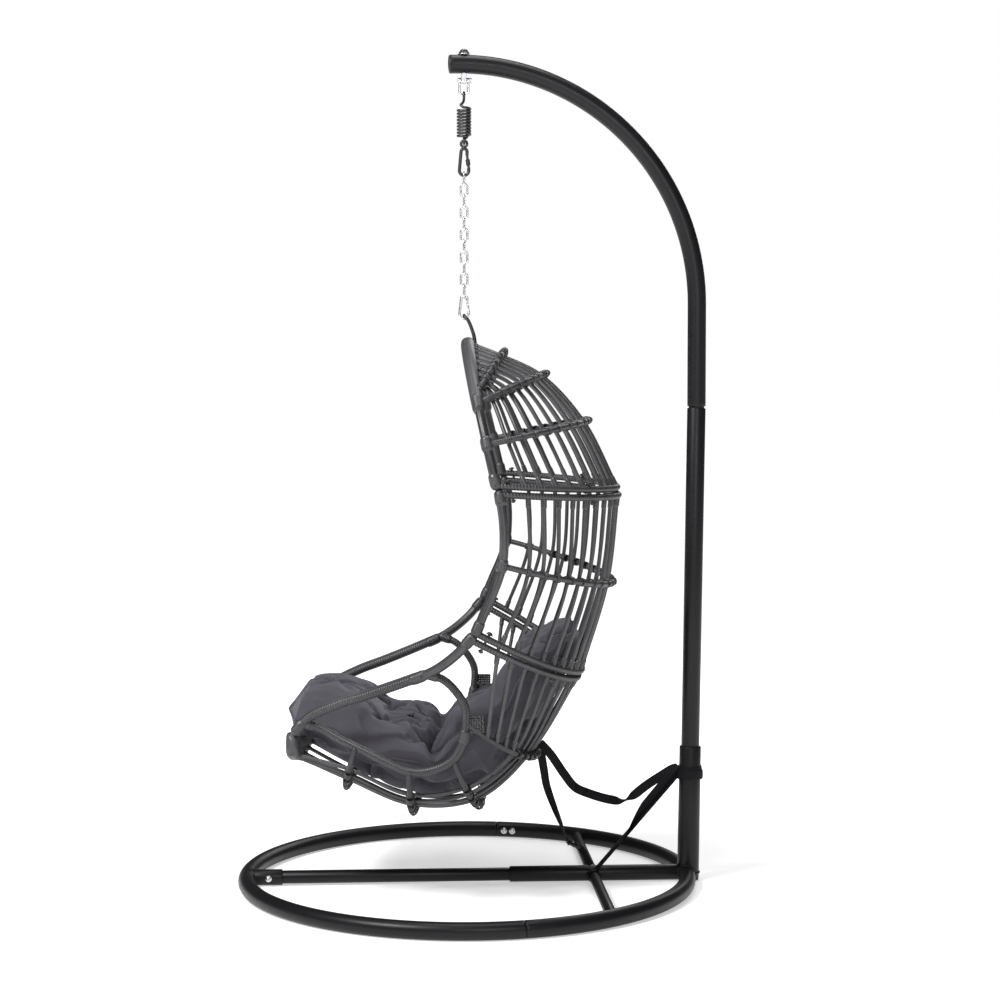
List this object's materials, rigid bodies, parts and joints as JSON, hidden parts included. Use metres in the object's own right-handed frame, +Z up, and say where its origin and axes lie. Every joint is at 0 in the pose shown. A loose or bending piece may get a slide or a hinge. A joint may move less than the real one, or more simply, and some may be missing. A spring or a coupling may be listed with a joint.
{
  "type": "hanging egg chair",
  "caption": "Wicker hanging egg chair with a padded cushion, hung by spring and chain from a curved arch on a ring base.",
  "frame": {"origin": "on the floor under the middle of the ring base", "axes": "+Z up; the chair faces -Y and the post stands at +Y; +X is to the sitter's left"},
  "size_m": [1.0466, 1.0714, 1.9034],
  "materials": {
    "powder_coat": "satin",
    "zinc": "satin",
    "black_steel": "satin",
    "black_plastic": "satin",
    "wicker": "satin",
    "cushion_fabric": "matte",
    "webbing": "matte"
  },
  "bodies": {
    "stand": {"base_rear_ring": "powder_coat", "base_front_ring_right": "powder_coat", "base_front_ring_left": "powder_coat", "base_front_tee": "powder_coat", "base_centre_tube_front": "powder_coat", "base_centre_tube_rear": "powder_coat", "base_cross_tube_right": "powder_coat", "base_cross_tube_left": "powder_coat", "base_front_bolt": "zinc", "post_socket": "powder_coat", "lower_post": "powder_coat", "upper_arch": "powder_coat", "arch_end_cap": "black_plastic", "ring_bolt_right_1": "zinc", "ring_bolt_right_2": "zinc", "ring_bolt_left_1": "zinc", "ring_bolt_left_2": "zinc", "strap_stand_leg": "webbing", "strap_chair_leg_rear": "webbing", "strap_chair_leg_front": "webbing", "strap_buckle": "black_steel", "strap_tail": "webbing"},
    "hanger": {"hanger_lug_bolt": "zinc", "hanger_washer": "zinc", "hanger_domed_nut": "black_steel"},
    "shackle": {"shackle": "zinc", "shackle_pin": "zinc", "shackle_nut": "zinc"},
    "spring": {"spring": "black_steel"},
    "chain": {"upper_snap_hook": "black_steel", "chain_link_01": "zinc", "chain_link_02": "zinc", "chain_link_03": "zinc", "chain_link_04": "zinc", "chain_link_05": "zinc", "chain_link_06": "zinc", "chain_link_07": "zinc", "chain_link_08": "zinc", "chain_link_09": "zinc", "chain_link_10": "zinc", "chain_link_11": "zinc", "lower_snap_hook": "zinc"},
    "upper_gate": {"upper_snap_gate": "black_steel"},
    "lower_gate": {"lower_snap_gate": "zinc"},
    "chair": {"hang_loop": "black_steel", "hood_frame": "wicker", "back_frame": "wicker", "seat_frame": "wicker", "cushion": "cushion_fabric", "hood_bolt_1": "black_steel", "hood_bolt_2": "black_steel", "hood_bolt_3": "black_steel", "hood_bolt_4": "black_steel", "seat_bolt_1": "black_steel", "seat_bolt_2": "black_steel", "seat_bolt_3": "black_steel", "seat_bolt_4": "black_steel"}
  },
  "joints": [
    {"name": "hanger_swivel", "type": "hinge", "parent": "stand", "child": "hanger", "pos_m": [0, -0.018, 1.87], "axis": [0, 0, 1], "range_deg": [-12, 12], "deforming": ["strap_chair_leg_rear", "strap_chair_leg_front"]},
    {"name": "side_swing", "type": "hinge", "parent": "hanger", "child": "shackle", "pos_m": [0, -0.018, 1.833], "axis": [0.0732, 0.9973, 0], "range_deg": [-4, 4]},
    {"name": "fore_aft_swing", "type": "hinge", "parent": "shackle", "child": "spring", "pos_m": [0, -0.018, 1.8025], "axis": [0.9973, -0.0732, 0], "range_deg": [-3, 5]},
    {"name": "spring_stretch", "type": "slide", "parent": "spring", "child": "chain", "axis": [0, 0, -1], "range_m": [0, 0.03], "stiffness_N_per_m": 20000, "springref_m": -0.0025, "deforming": ["spring"]},
    {"name": "chair_pitch", "type": "hinge", "parent": "chain", "child": "chair", "pos_m": [0, -0.018, 1.301], "axis": [0.9973, -0.0732, 0], "range_deg": [-4, 4]},
    {"name": "upper_gate_hinge", "type": "hinge", "parent": "chain", "child": "upper_gate", "pos_m": [0.00051, -0.01102, 1.666], "axis": [-0.9973, 0.0732, 0], "range_deg": [0, 10], "stiffness_Nm_per_rad": 0.02, "springref_deg": -2.86},
    {"name": "lower_gate_hinge", "type": "hinge", "parent": "chain", "child": "lower_gate", "pos_m": [0.00048, -0.01152, 1.336], "axis": [-0.9973, 0.0732, 0], "range_deg": [0, 20], "stiffness_Nm_per_rad": 0.02, "springref_deg": -2.86}
  ]
}
